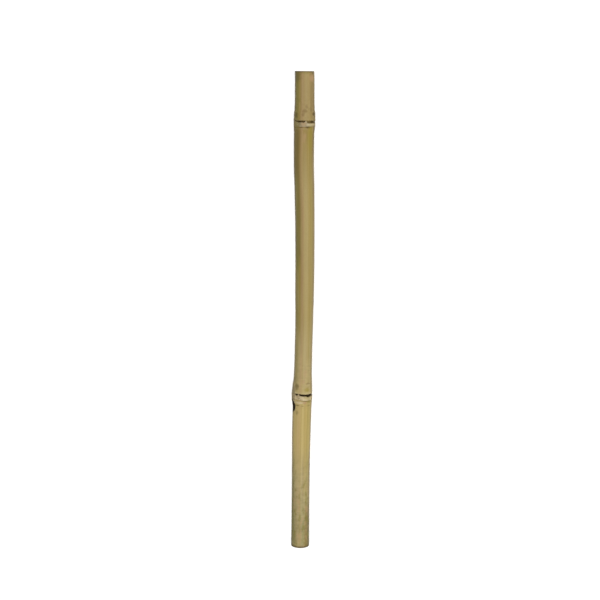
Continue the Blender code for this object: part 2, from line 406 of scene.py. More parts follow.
class CaneColours(bpy.types.PropertyGroup):
    """The finishes' colours."""

    __annotations__ = shades(
        ("near_end", "Skin at the near sawn end", 162, 141, 92),
        ("near_joint", "Skin after the near joint", 148, 127, 72),
        ("middle", "Skin of the middle stretch", 168, 149, 97),
        ("far_joint", "Skin before the far joint", 176, 158, 109),
        ("ripest", "Skin after the far joint, where it is yellowest", 191, 170, 109),
        ("fading", "Skin where the yellow fades towards the far end", 180, 165, 118),
        ("far_end", "Skin at the far sawn end", 157, 147, 103),
        ("olive", "Greenish streaks", 134, 124, 62),
        ("moss", "Greener patches", 152, 136, 58),
        ("grey", "Greyish streaks", 164, 154, 124),
        ("leaf", "Greenest streaks, towards the far end", 108, 108, 58),
        ("ochre", "Warm yellowish streaks", 150, 128, 62),
        ("brown", "Brownish streaks and spots", 124, 102, 64),
        ("rose", "Pinkish streaks", 178, 144, 106),
        # pale also paints the highlight on the joints' rims, where the proud rim catches the light
        ("pale", "Pale streaks and bleached rims", 190, 174, 128),
        ("bark", "Darkest, greyish brown streaks", 104, 90, 58),
        ("speck", "Dark specks and lines", 88, 72, 36),
        ("cork", "Palest cork of the joints", 212, 195, 157),
        ("cork_shade", "Greyer cork of the joints", 164, 144, 112),
        ("furrow", "Brown line after the corky ring", 116, 92, 54),
        # crack and crack_edge are painted shade, partly dark dirt: crack is the deep shadow inside the
        # cracks and the stub's hollow, crack_edge the lighter shade where a crack is shallow
        ("crack", "Inside of the cracks", 34, 23, 4),
        ("crack_edge", "Where a crack is shallow", 96, 78, 34),
        ("stub", "Weathered face of the twig's stub", 140, 126, 100),
        ("sawn", "Sawn wood", 206, 184, 138),
        ("sawn_rim", "Denser wood under the skin", 160, 132, 84),
        ("pore", "Vessels in the sawn wood", 112, 82, 48),
        ("lining", "Papery lining of the hollows", 196, 176, 132),
        ("floor", "The floor it lies on", 250, 250, 250),
    )


class CaneStageSizes(bpy.types.PropertyGroup):
    """The camera and the lights."""

    __annotations__ = lengths(
        ("distance", "From the cane's axis to the camera", 1316),
        ("aside", "How far left of the near end's middle the camera stands", 4.48),
    ) | angles(
        ("pitch", "How far the view leans towards the far end", 10.06),
        ("tilt", "How far the cane is turned in the picture", 0.4996),
        ("key_lean", "How far the key light leans to the right", 12),
        ("key_spread", "How wide the key light looks from the cane", 16),
        ("floor_spread", "How wide the floor's light looks from it", 12),
        ("floor_lean", "How far the floor's light leans to the near end", 7),
    ) | amounts(
        ("lens", "Focal length in millimetres", 77.45, 500),
        ("key_light", "Light on the cane, in watts for each square metre", 3.0, 20),
        ("floor_light", "Light on the floor, from nearly straight above", 3.4, 20),
        ("sky", "Brightness of the surroundings", 0.07, 5),
    )


class Socket:
    """An output of a node. Its arithmetic adds Math nodes to its tree."""

    def __init__(self, nodes, output):
        self.nodes = nodes
        self.output = output

    def __abs__(self):
        return self.nodes.math("ABSOLUTE", self)

    def __neg__(self):
        return self * -1

    def ramp(self, low, high, kind="LINEAR"):
        """0 at low and beyond it, 1 at high and beyond it."""
        settings = {"interpolation_type": kind, "clamp": True}
        inputs = {"Value": self, "From Min": low, "From Max": high}
        return self.nodes.add("ShaderNodeMapRange", settings, inputs)

    def smooth(self, low, high):
        """As ramp, with a smooth rise."""
        return self.ramp(low, high, "SMOOTHSTEP")

    def bell(self, centre, half_width):
        """1 at the centre, falling smoothly to 0 half a width away."""
        return abs(self - centre).smooth(half_width, 0.0)

    def turned(self, side):
        """How far an angle is turned from a side, in degrees, from -180 to 180."""
        return self.nodes.math("WRAP", self - side, HALF_TURN, -HALF_TURN)

    def wave(self, kind):
        """The sine or cosine of an angle in degrees."""
        return self.nodes.math(kind, self * math.radians(1))

    def noise(self, scale=1.0, detail=2.0, roughness=0.5):
        """Smooth noise about 0, between -1 and 1, at the place that a vector gives."""
        inputs = {"Vector": self, "Scale": scale, "Detail": detail, "Roughness": roughness}
        return (self.nodes.add("ShaderNodeTexNoise", {}, inputs) - 0.5) * 2

    def pattern(self, along, across, shift=0.0, detail=2.0, roughness=0.5):
        """Noise whose fineness along X and across it differ, from another stretch of the noise."""
        stretched = self.nodes.vector_math("MULTIPLY", self, (along, across, across))
        moved = self.nodes.vector_math("ADD", stretched, (shift, shift, shift))
        return moved.noise(1.0, detail, roughness)

    def parts(self):
        """The three parts of a vector."""
        split = self.nodes.add("ShaderNodeSeparateXYZ", {}, {0: self})
        return [Socket(self.nodes, output) for output in split.output.node.outputs]


def overload(name, operation):
    """Gives sockets an arithmetic operator and its reflected form, each of which adds a Math node."""
    setattr(Socket, f"__{name}__", lambda self, other: self.nodes.math(operation, self, other))
    setattr(Socket, f"__r{name}__", lambda self, other: self.nodes.math(operation, other, self))


ARITHMETIC = {"add": "ADD", "sub": "SUBTRACT", "mul": "MULTIPLY", "truediv": "DIVIDE", "pow": "POWER"}
for symbol, operation in ARITHMETIC.items():
    overload(symbol, operation)


class Nodes:
    """Adds nodes to one tree, for a material or for geometry."""

    def __init__(self, tree):
        self.tree = tree

    def add(self, kind, settings=None, inputs=None, output=0):
        """Adds a node: its settings come first, then the values or links of its inputs."""
        node = self.tree.nodes.new(kind)
        for name, value in (settings or {}).items():
            if name == "stops":
                self.set_stops(node.color_ramp, value)
            elif name == "points":
                self.set_points(node.mapping, value)
            else:
                setattr(node, name, value)
        for name, value in (inputs or {}).items():
            if isinstance(value, Socket):
                self.tree.links.new(value.output, node.inputs[name])
            else:
                node.inputs[name].default_value = value
        return Socket(self, node.outputs[output])

    @staticmethod
    def set_stops(ramp, stops):
        """Gives a colour ramp its (place, colour) stops."""
        while len(ramp.elements) < len(stops):
            ramp.elements.new(0.5)
        for element, (place, shade) in zip(ramp.elements, stops):
            element.position = place
            element.color = (*shade, 1)

    @staticmethod
    def set_points(mapping, points):
        """Gives a curve its points, all from 0 to 1."""
        curve = mapping.curves[0]
        while len(curve.points) < len(points):
            curve.points.new(0.5, 0.5)
        for point, (x, y) in zip(curve.points, points):
            point.location = (x, y)
        mapping.update()

    def math(self, operation, *values):
        """A Math node."""
        return self.add("ShaderNodeMath", {"operation": operation}, dict(enumerate(values)))

    def vector_math(self, operation, *values):
        """A Vector Math node that gives a vector."""
        return self.add("ShaderNodeVectorMath", {"operation": operation}, dict(enumerate(values)))

    def smallest(self, first, *others):
        """The smallest of some values."""
        for other in others:
            first = self.math("MINIMUM", first, other)
        return first

    def largest(self, first, *others):
        """The largest of some values."""
        for other in others:
            first = self.math("MAXIMUM", first, other)
        return first

    def vector(self, x, y, z):
        """A vector from its three parts."""
        return self.add("ShaderNodeCombineXYZ", {}, {0: x, 1: y, 2: z})

    def mix(self, factor, first, second):
        """Two colours mixed."""
        inputs = {MIX_FACTOR: factor, MIX_FIRST: first, MIX_SECOND: second}
        return self.add("ShaderNodeMix", {"data_type": "RGBA"}, inputs, MIX_RESULT)

    def attribute(self, name, output):
        """What the geometry has stored under a name."""
        return self.add("ShaderNodeAttribute", {"attribute_name": name}, {}, output)


def geometry_tree(name, offered):
    """A geometry tree with named inputs, and those inputs as sockets. offered pairs titles with groups."""
    tree = bpy.data.node_groups.new(name, "GeometryNodeTree")
    kinds = {"FLOAT": "NodeSocketFloat", "INT": "NodeSocketInt"}
    for title, group in offered:
        for field in own_fields(group):
            socket = tree.interface.new_socket(f"{title} {field.name}", socket_type=kinds[field.type])
            socket.default_value = getattr(group, field.identifier)
    tree.interface.new_socket("Geometry", in_out="OUTPUT", socket_type="NodeSocketGeometry")
    nodes = Nodes(tree)
    entry = tree.nodes.new("NodeGroupInput")
    sizes = []
    for title, group in offered:
        names = {field.identifier: f"{title} {field.name}" for field in own_fields(group)}
        sockets = {field: Socket(nodes, entry.outputs[name]) for field, name in names.items()}
        sizes.append(SimpleNamespace(**sockets))
    return nodes, sizes


def own_fields(group):
    """The properties that a property group adds itself."""
    return [field for field in group.bl_rna.properties if field.identifier not in ("rna_type", "name")]


def geometry_piece(name, nodes, geometry, offered):
    """Ends a geometry tree, runs it with its inputs set, and returns the result as a plain mesh object."""
    realized = nodes.add("GeometryNodeRealizeInstances", {}, {0: geometry})
    leave = nodes.tree.nodes.new("NodeGroupOutput")
    nodes.tree.links.new(realized.output, leave.inputs[0])
    start = bpy.data.objects.new(name + "_start", bpy.data.meshes.new(name + "_start"))
    bpy.context.scene.collection.objects.link(start)
    modifier = start.modifiers.new("Shape", "NODES")
    modifier.node_group = nodes.tree
    identifiers = {item.name: item.identifier for item in nodes.tree.interface.items_tree}
    for title, group in offered:
        for field in own_fields(group):
            modifier[identifiers[f"{title} {field.name}"]] = getattr(group, field.identifier)
    graph = bpy.context.evaluated_depsgraph_get()
    mesh = bpy.data.meshes.new_from_object(start.evaluated_get(graph))
    mesh.name = name
    start.modifiers.remove(modifier)
    bpy.data.objects.remove(start)
    piece = bpy.data.objects.new(name, mesh)
    bpy.context.scene.collection.objects.link(piece)
    return piece


def by_steps(ring, points):
    """A value that runs straight from point to point, each a ring's number and a value."""
    (last_ring, last_value), *rest = points
    total = last_value
    for at, value in rest:
        if value != last_value:
            total = total + (value - last_value) * ring.ramp(last_ring, at)
        last_ring, last_value = at, value
    return total


def along_curve(nodes, place, points):
    """The value at a place of a smooth curve through (place, value) points in millimetres."""
    values = [value for _, value in points]
    low, high = min(values), max(values)
    scaled = [(at * MM / LENGTH, (value - low) / (high - low)) for at, value in points]
    curve = nodes.add("ShaderNodeFloatCurve", {"points": scaled}, {"Value": place / LENGTH})
    return (curve * (high - low) + low) * MM


def openness(angle, gape):
    """How far a gape stands open on a side, from 0 to 1."""
    middle = (gape.open_from + gape.open_to) / 2
    away = angle.turned(middle)
    opening = away.smooth(gape.opens - middle, gape.open_from - middle)
    return opening * away.smooth(gape.closes - middle, gape.open_to - middle)


def joint_form(nodes, place, angle, around, joint, gapes):
    """How far a joint stands out, and the marks that its colours follow."""
    wander = around.noise(190.0) * joint.ragged
    teeth = around.noise(1500.0, 3.0, 0.7) * joint.ragged * 0.8
    past = place - joint.at - joint.slant * angle.wave("SINE")
    torn = past + wander + teeth
    lower = past - joint.ring_slant * angle.smooth(-25.0, 10.0) * angle.smooth(160.0, 100.0)
    frayed = lower + around.noise(420.0, 3.0, 0.6) * joint.ragged

    end = joint.ring_end
    stem = joint.flare * past.smooth(-joint.flare_length, 0.0) ** 1.5
    collar_start = -joint.collar_length
    stem = stem + joint.collar * past.smooth(collar_start - 1.2 * MM, collar_start + 1.2 * MM)
    corky = frayed.smooth(end + 0.5 * MM, end - 0.5 * MM)
    after = lower.smooth(end - 0.3 * MM, end + 0.3 * MM) * lower.smooth(end + joint.shoulder_length, end)
    furrow = frayed.bell(end + 0.2 * MM, 0.8 * MM)
    scar = frayed.bell(end + 1.9 * MM, 0.8 * MM)

    lumps = around.pattern(1, 700, 0.0, 3.0, 0.65)
    running = nodes.vector_math("ADD", around, nodes.vector(place * 0.22, 0.0, 0.0))
    strands = running.pattern(900, 2100)
    cork = joint.cork * corky + joint.shoulder * after - joint.furrow * furrow
    cork = cork + corky * (lumps * 0.14 * MM + strands * 0.11 * MM) + joint.scar * scar

    opens = [openness(angle + teeth * TORN_TURN, gape) for gape in gapes]
    deep = nodes.largest(CLOSED_DEPTH, *[share * gape.deep for share, gape in zip(opens, gapes)])
    width = nodes.largest(CLOSED_WIDTH, *[share * (gape.width * MM) for share, gape in zip(opens, gapes)])
    width = width * (1 + around.noise(900.0) * 0.25)
    across = torn / width
    beyond = across.smooth(0.0, 1.0)
    gaping = abs(across - 0.5).smooth(0.5, 0.38)
    relief = stem * (1 - beyond) + cork * beyond
    relief = relief - joint.crack_depth * deep * gaping
    lip = torn.bell(-0.9 * MM, 1.5 * MM)
    relief = relief + lip * (1 - beyond) * (0.08 * MM + strands * 0.06 * MM)

    relief = relief + joint.swell * angle.turned(TWIG_SIDE).bell(0.0, TWIG_REACH) * past.bell(0.0, 17 * MM)
    marks = {
        "cork": corky * beyond,
        # The crack mark grows with the crack's depth, and it is where the skin gets painted shade
        "crack": gaping * deep.ramp(0.0, DARK_DEPTH),
        "rim": torn.smooth(-3.0 * MM, -0.4 * MM) * (1 - beyond),
        "furrow": furrow * beyond,
        "scar": scar * beyond,
    }
    return relief, marks


def stub_form(place, angle, stub):
    """How far the twig's stub stands out, with the hollow under its cut, and its marks."""
    pad = angle.turned(stub.side).bell(0.0, stub.half_width) ** 0.6
    pad = pad * place.smooth(stub.start, stub.end - 6 * MM) * place.smooth(stub.end + stub.cut, stub.end)
    hollow = angle.turned(stub.hollow_side).bell(0.0, stub.hollow_half_width)
    hollow = hollow * place.smooth(stub.hollow_start, stub.hollow_deepest)
    hollow = hollow * place.smooth(stub.hollow_end, stub.hollow_deepest)
    middle = (stub.start + stub.end) * 0.5 + 4 * MM
    reach = (stub.end - stub.start) * 0.5 + 1 * MM
    away = angle.turned(stub.side) / (stub.half_width * 0.82)
    off = (place - middle) / reach
    ring = (away * away + off * off) ** 0.5
    lip = ring.bell(1.0, 0.16)
    relief = pad * stub.height - hollow * stub.hollow_depth + lip * stub.lip
    inside = place - (stub.hollow_start + stub.hollow_end) * 0.5 + 0.9 * MM
    inside = inside / ((stub.hollow_end - stub.hollow_start) * 0.47)
    taper = inside.smooth(0.2, 1.2) * 9
    beside = (angle + taper + 6).turned(stub.hollow_side) / stub.hollow_half_width
    marks = {
        "stub": ring.smooth(1.0, 0.8) * place.smooth(stub.start, stub.start + 6 * MM),
        "lip": lip,
        # The hollow mark is where painted shade, partly dark dirt, darkens the hollow under the cut
        "hollow": (inside * inside + beside * beside).smooth(1.1, 0.75),
    }
    return relief, marks


def culm_rings():
    """The numbers of the rings at which the mesh changes course. The skin's come with their places."""
    dome = DOME_STEPS
    bore = dome + BORE_STEPS
    face = bore + FACE_STEPS
    skin = [(face, 0.0)]
    for steps, place in SKIN_STEPS:
        skin.append((skin[-1][0] + steps, place * MM))
    far_face = skin[-1][0]
    far_bore = far_face + FACE_STEPS
    far_dome = far_bore + BORE_STEPS
    return dome, bore, face, skin, far_face, far_bore, far_dome, far_dome + DOME_STEPS


def culm_tree(offered, finishes):
    """The geometry tree of the whole culm: a closed cylinder whose rings are led through the near hollow,
    over the near face, along the skin and into the far hollow."""
    nodes, (culm, near, far, stub) = geometry_tree("culm_shape", offered)
    dome, bore, face, skin, far_face, far_bore, far_dome, last = culm_rings()
    inputs = {"Vertices": culm.sides, "Side Segments": last, "Radius": 1.0, "Depth": 1.0}
    geometry = nodes.add("GeometryNodeMeshCylinder", {"fill_type": "TRIANGLE_FAN"}, inputs)
    x, y, z = nodes.add("GeometryNodeInputPosition").parts()
    ring = nodes.math("ROUND", (z + 0.5) * last)
    angle = nodes.math("ARCTAN2", x, y) * math.degrees(1)
    unit = (x * x + y * y) ** 0.5
    seed = nodes.vector(culm.seed * SEED_STEP, 0.0, 0.0)
    flat_x, flat_y = x * PLAIN_RADIUS, y * PLAIN_RADIUS
    around = nodes.vector_math("ADD", nodes.vector(0.0, flat_x, flat_y), seed)

    near_wall = near.at - culm.diaphragm
    far_wall = far.at + culm.diaphragm
    corner = culm.lumen_corner
    points = [(0, near_wall - corner), (dome, near_wall - corner), (bore, 0.0), *skin]
    points += [(far_bore, LENGTH), (far_dome, far_wall + corner), (last, far_wall + corner)]
    place = by_steps(ring, points)
    grown = nodes.vector_math("ADD", nodes.vector(place, flat_x, flat_y), seed)

    near_relief, near_marks = joint_form(nodes, place, angle, around, near, NEAR_GAPES)
    elsewhere = nodes.vector_math("ADD", around, FAR_JOINT_SHIFT)
    far_relief, far_marks = joint_form(nodes, place, angle, elsewhere, far, FAR_GAPES)
    stub_relief, stub_marks = stub_form(place, angle, stub)
    radius = along_curve(nodes, place, GIRTH) + culm.oval * (angle * 2).wave("COSINE")
    radius = radius + near_relief + far_relief + stub_relief
    radius = radius + culm.ripple * grown.pattern(22, 70) + culm.ridge * grown.pattern(9, 620)

    end_band = culm.edge_wear * (1 + around.noise(260.0, 3.0) * 0.5)
    from_end = nodes.smallest(place, LENGTH - place)
    short = from_end.ramp(end_band, 0.0)
    radius = radius - end_band * (1 - (1 - short * short) ** 0.5)

    wrinkle = grown.pattern(35, 900) * culm.lumen_wrinkle
    deep = nodes.largest(ring.ramp(bore, dome), ring.ramp(far_bore, far_dome))
    bore_radius = culm.lumen_radius - culm.lumen_narrows * deep + wrinkle * deep
    turn = nodes.largest(ring.ramp(dome, 0), ring.ramp(far_dome, last)) * QUARTER_TURN
    bore_radius = bore_radius * turn.wave("COSINE")
    dome_reach = turn.wave("SINE") * corner
    heading = by_steps(ring, [(0, 1.0), (dome, 1.0), (far_dome, -1.0)])
    out = by_steps(ring, [(0, 0.0), (bore, 0.0), (face, 1.0), (far_face, 1.0), (far_bore, 0.0)])
    radius = (bore_radius * (1 - out) + radius * out) * unit

    saw = nodes.vector(0.0, x * radius, y * radius).noise(900.0, 3.0, 0.6) * 0.5 + 0.5
    saw = saw * culm.saw_marks * out.smooth(0.0, 0.1) * out.smooth(1.0, 0.93)
    saw = saw * by_steps(ring, [(face, 1.0), (far_face, -1.0)])
    shape_x = place + dome_reach * heading + saw - LENGTH / 2
    shape_y = along_curve(nodes, place, SWAY) + x * radius + END_SIDE
    shape_z = nodes.largest(along_curve(nodes, place, RISE) + y * radius, 0.0)

    marks = {name: nodes.largest(near_marks[name], far_marks[name]) for name in near_marks}
    marks.update(stub_marks)
    for name, value in marks.items():
        geometry = store(nodes, geometry, name, "FLOAT", value)
    geometry = store(nodes, geometry, "ring", "FLOAT", ring)
    unbent = nodes.vector(place, x * radius, y * radius)
    geometry = store(nodes, geometry, "grown", "FLOAT_VECTOR", unbent)
    inputs = {"Geometry": geometry, "Position": nodes.vector(shape_x, shape_y, shape_z)}
    geometry = nodes.add("GeometryNodeSetPosition", {}, inputs)
    level = stored(nodes, "ring")
    on_face = between(level, bore, face) + between(level, far_face, far_bore)
    in_hollow = between(level, -1, bore) + between(level, far_bore, last + 1)
    for finish, where in zip(finishes, (None, on_face, in_hollow)):
        inputs = {"Geometry": geometry, "Material": finish}
        if where is not None:
            inputs["Selection"] = where
        geometry = nodes.add("GeometryNodeSetMaterial", {}, inputs)
    return nodes, geometry


def between(value, low, high):
    """1 where a value lies between two others."""
    above = value.nodes.math("GREATER_THAN", value, float(low))
    return above * value.nodes.math("LESS_THAN", value, float(high))


def stored(nodes, name):
    """A value that the geometry's points carry under a name."""
    return nodes.add("GeometryNodeInputNamedAttribute", {"data_type": "FLOAT"}, {"Name": name})


def store(nodes, geometry, name, kind, value):
    """Stores a value on the geometry's points under a name."""
    inputs = {"Geometry": geometry, "Name": name, "Value": value}
    return nodes.add("GeometryNodeStoreNamedAttribute", {"data_type": kind, "domain": "POINT"}, inputs)


def fibre_tree(offered, culm, finish):
    """The geometry tree of the torn fibres: fine tapered strands on the rims and in the corky rings."""
    nodes, (fibres,) = geometry_tree("fibre_shape", offered)
    surface = nodes.add("GeometryNodeObjectInfo", {}, {"Object": culm}, "Geometry")
    wanted = stored(nodes, "cork").smooth(0.5, 1.0) * 0.35
    wanted = wanted + stored(nodes, "rim").smooth(0.75, 1.0)
    height = nodes.add("GeometryNodeInputPosition").parts()[2]
    wanted = wanted * height.smooth(1.0 * MM, 3.5 * MM)
    inputs = {"Mesh": surface, "Density": wanted * fibres.density * PER_SQUARE_MM, "Seed": fibres.seed}
    spread = nodes.add("GeometryNodeDistributePointsOnFaces", {}, inputs)
    normal = Socket(nodes, spread.output.node.outputs["Normal"])
    align = "FunctionNodeAlignRotationToVector"
    upright = nodes.add(align, {"axis": "Z"}, {"Vector": normal})
    inputs = {"Rotation": upright, "Vector": (1.0, 0.0, 0.0)}
    along = nodes.add(align, {"axis": "X", "pivot_axis": "Z"}, inputs)
    lean = random_vector(nodes, FIBRE_LEAN, fibres.seed)
    turned = nodes.add("FunctionNodeRotateRotation", {"rotation_space": "LOCAL"}, {0: along, 1: lean})
    size = random_vector(nodes, FIBRE_SIZE, fibres.seed + SIZE_SEED)
    inputs = {"Vertices": FIBRE_SIDES, "Side Segments": FIBRE_STEPS, "Depth": fibres.length}
    inputs.update({"Radius Top": fibres.tip, "Radius Bottom": fibres.thickness})
    strand = nodes.add("GeometryNodeMeshCone", {"fill_type": "TRIANGLE_FAN"}, inputs)
    inputs = {"Geometry": strand, "Rotation": (0.0, math.radians(QUARTER_TURN), 0.0)}
    lying = nodes.add("GeometryNodeTransform", {}, inputs)
    inputs = {"Points": spread, "Instance": lying, "Rotation": turned, "Scale": size}
    placed = nodes.add("GeometryNodeInstanceOnPoints", {}, inputs)
    return nodes, nodes.add("GeometryNodeSetMaterial", {}, {"Geometry": placed, "Material": finish})


def random_vector(nodes, limits, seed):
    """A vector between two limits that differs from point to point."""
    inputs = {"Min": limits[0], "Max": limits[1], "Seed": seed}
    return nodes.add("FunctionNodeRandomValue", {"data_type": "FLOAT_VECTOR"}, inputs)


def start_material(name, **constants):
    """A new material: its nodes and its Principled shader, with the values that are the same all over."""
    material = bpy.data.materials.new(name)
    material.use_nodes = True
    shader = material.node_tree.nodes["Principled BSDF"]
    for socket, value in constants.items():
        shader.inputs[socket.replace("_", " ")].default_value = value
    return material, Nodes(material.node_tree), shader


def finish_material(nodes, shader, colour_socket, roughness, height, depth):
    """Links a material's colour, roughness and bump. depth is the bump's height in metres."""
    bump = nodes.add("ShaderNodeBump", {}, {"Strength": 1.0, "Distance": depth, "Height": height})
    for name, value in (("Base Color", colour_socket), ("Roughness", roughness), ("Normal", bump)):
        nodes.tree.links.new(value.output, shader.inputs[name])


def rgba(shade):
    """A colour property as a socket's four numbers."""
    return (*shade, 1)


def brightened(nodes, shade, change):
    """A colour made lighter or darker by a share of itself."""
    factor = change + 1
    return nodes.vector_math("MULTIPLY", shade, nodes.vector(factor, factor, factor))


def streaked(painted, shade, place, side, fibre, patch):
    """The skin's colour with its long streaks, whose edges follow the fibres."""
    for streak in STREAKS:
        away = side.turned(streak.side)
        cover = (abs(away) + fibre * 5).smooth(streak.half_width * 1.15, streak.half_width * 0.15)
        cover = cover * place.smooth((streak.start - FADE) * MM, (streak.start + FADE) * MM)
        cover = cover * place.smooth((streak.end + FADE) * MM, (streak.end - FADE) * MM)
        shade = painted(shade, cover * (patch * 0.35 + streak.strength), streak.colour)
    return shade


def spotted(painted, shade, place, side, blur):
    """The skin's colour with its separate spots."""
    for spot in SPOTS:
        off = (place - spot.place * MM) * (1 / (spot.half_length * MM))
        away = (side - spot.side) * (1 / spot.half_width)
        cover = (off * off + away * away + blur).smooth(1.8, 0.0) * spot.strength
        shade = painted(shade, cover, spot.colour)
    return shade


def skin_material(colours):
    """Dried bamboo skin: streaks along the stem, spots and mottles, and pale cork, brown furrows and
    cracks at the joints. Painted shade, partly dark dirt, darkens the cracks and the stub's hollow;
    painted shade, partly dirt, darkens the rims of the sawn ends; and a painted highlight lightens the
    joints' rims."""
    material, nodes, shader = start_material("bamboo_skin", Specular_IOR_Level=0.1)
    grown = nodes.attribute("grown", "Vector")
    marks = SimpleNamespace(**{name: nodes.attribute(name, "Fac") for name in MARKS})
    place, across, upward = grown.parts()
    side = nodes.math("ARCTAN2", across, upward) * math.degrees(1)
    noises = {name: grown.pattern(*sizes) for name, sizes in SKIN_PATTERNS.items()}
    blotch, band, fibre, strand, fine, mottle, grain, speckle, stain, tuft, clump = noises.values()

    def painted(shade, cover, name):
        """One of the colours laid over the skin."""
        return nodes.mix(cover, shade, rgba(getattr(colours, name)))

    where = {name: place.smooth(start * MM, full * MM) for name, (start, full) in STRETCHES.items()}
    where.update({name: place.bell(middle * MM, reach * MM) for name, (middle, reach) in PATCHES.items()})
    where = SimpleNamespace(**where)
    stops = [(at, getattr(colours, name)) for at, name in SKIN_STOPS]
    shade = nodes.add("ShaderNodeValToRGB", {"stops": stops}, {0: place / LENGTH + blotch * 0.012})
    swerve = nodes.vector(place, 0.0, 0.0).noise(16.0) * 5
    shade = streaked(painted, shade, place, side + swerve, fibre, blotch)
    shade = painted(shade, band.smooth(0.05, 0.45) * 0.35, "ochre")
    shade = painted(shade, strand.smooth(0.15, 0.55) * 0.30, "pale")
    change = blotch * 0.09 + fibre * 0.085 + strand * 0.06 + fine * 0.03 + speckle * 0.075
    change = change + mottle * (where.freckled * 1.7 + where.mottled * 3.2) * 0.12
    change = change + grain * where.grainy * 0.10 + stain * where.weathered * 0.2
    shade = brightened(nodes, shade, change)
    shade = painted(shade, stain.smooth(0.05, 0.4) * where.weathered * 0.6, "rose")
    shade = painted(shade, stain.smooth(0.0, -0.4) * where.weathered * 0.75, "olive")

    # Painted shade, partly dirt: the skin darkens towards each sawn end, where the rounded edge turns away
    # from the light, more at the far end
    from_end = nodes.smallest(place, LENGTH - place)
    end_band = (from_end / (where.farther * 0.5 + 1)).smooth(1.9 * MM, 0.6 * MM)
    shade = painted(shade, end_band * (fine * 0.4 + where.farther * 0.2 + 0.62), "speck")

    # Painted highlight: the rims before the cracks are lightened where they stand proud and catch the
    # light, more towards the far joint
    shade = painted(shade, marks.rim * (tuft * 0.3 + where.bleached * 0.35 + 0.08), "pale")
    tufted = (tuft + clump * 1.2).smooth(-0.8, 0.6)
    corky = nodes.mix(tufted, rgba(colours.cork_shade), rgba(colours.cork))
    corky = brightened(nodes, corky, where.nearer * -0.36)
    cover = side.smooth(-60.0, -15.0) * 0.4 + 0.52 - side.smooth(35.0, 62.0) * 0.35
    shade = nodes.mix(cover * marks.cork, shade, corky)
    scarred = marks.scar * side.smooth(25.0, 5.0) * (where.farther * 0.5 + 0.3)
    shade = nodes.mix(scarred, shade, corky)
    shade = painted(shade, marks.stub * 0.55, "stub")
    shade = nodes.mix(marks.lip * 0.6, shade, corky)
    shade = painted(shade, marks.furrow * (clump * 0.35 + where.nearer * 0.15 + 0.4), "furrow")
    broken = grain * 0.7 + fibre * 0.5 + fine * 0.4
    shade = spotted(painted, shade, place + fine * 0.7 * MM, side + grain * 8, broken)
    # Painted shade, partly dark dirt: the cracks are darkened, lighter where they are shallow and at the
    # near joint, darkest where they are deep
    shade = painted(shade, marks.crack.ramp(0.0, 0.5) * 0.8, "crack_edge")
    dark = where.nearer * (tuft * 0.7 - 0.47) + 0.97
    shade = painted(shade, marks.crack.smooth(0.3, 1.0) * dark, "crack")
    # Painted shade, partly dark dirt: the hollow under the stub's cut takes the cracks' dark colour
    shade = painted(shade, marks.hollow * 0.97, "crack")

    rough = nodes.largest(marks.cork, marks.crack, marks.hollow, marks.lip)
    roughness = 0.52 + blotch * 0.06 + fibre * 0.05 + rough * 0.38
    height = fibre * 0.35 + fine * 0.15 + strand * 0.4 + (tuft * 2.2 + fine) * marks.cork
    finish_material(nodes, shader, shade, roughness, height, 0.05 * MM)
    return material


def sawn_material(colours):
    """Sawn end grain: vessels that crowd together towards the skin, in pale wood with saw marks."""
    material, nodes, shader = start_material("sawn_bamboo", Specular_IOR_Level=0.3)
    here = nodes.add("ShaderNodeTexCoord", {}, {}, "Object")
    x, y, z = here.parts()
    middle = x.smooth(-LENGTH / 2, LENGTH / 2) * (RISE[-1][1] - RISE[0][1]) * MM + RISE[0][1] * MM
    across = y - END_SIDE
    upward = z - middle
    from_middle = (across * across + upward * upward) ** 0.5
    flat = nodes.vector(0.0, across, upward)
    outer = from_middle.smooth(7.2 * MM, 9.0 * MM)
    inputs = {"Vector": flat, "Scale": COARSE_VESSELS, "Randomness": 0.75}
    coarse = nodes.add("ShaderNodeTexVoronoi", {}, inputs)
    inputs = {"Vector": flat, "Scale": CLOSE_VESSELS, "Randomness": 0.7}
    close = nodes.add("ShaderNodeTexVoronoi", {}, inputs)
    vessels = coarse.smooth(0.30, 0.17) * (1 - outer) + close.smooth(0.42, 0.25) * outer
    cloud = flat.noise(420.0, 3.0)
    grain = flat.noise(5200.0, 3.0, 0.7)
    outward = from_middle.smooth(5.6 * MM, 9.3 * MM)
    shade = nodes.mix(outward, rgba(colours.sawn), rgba(colours.sawn_rim))
    shade = brightened(nodes, shade, cloud * 0.12 + grain * 0.10)
    shade = nodes.mix(vessels * 0.72, shade, rgba(colours.pore))
    shade = nodes.mix(from_middle.smooth(9.0 * MM, 9.5 * MM) * 0.5, shade, rgba(colours.pore))
    marks = nodes.math("SINE", (across * 0.92 + upward * 0.4) * SAW_WAVES + cloud * 3.0)
    height = marks * 0.35 + grain * 0.5 - vessels * 1.2
    finish_material(nodes, shader, shade, 0.72 + grain * 0.1, height, 0.05 * MM)
    return material


def lining_material(colours):
    """The hollow's papery lining, and the diaphragm at its end."""
    material, nodes, shader = start_material("hollow_lining", Specular_IOR_Level=0.3)
    grown = nodes.attribute("grown", "Vector")
    wrinkle = grown.pattern(30, 1100, 0.0, 3.0, 0.6)
    cloud = grown.pattern(60, 200, 3.0, 3.0)
    shade = brightened(nodes, colours.lining, wrinkle * 0.16 + cloud * 0.12)
    shade = nodes.mix(cloud.smooth(0.15, 0.6) * 0.4, shade, rgba(colours.cork_shade))
    finish_material(nodes, shader, shade, 0.8 + cloud * 0.08, wrinkle, 0.12 * MM)
    return material


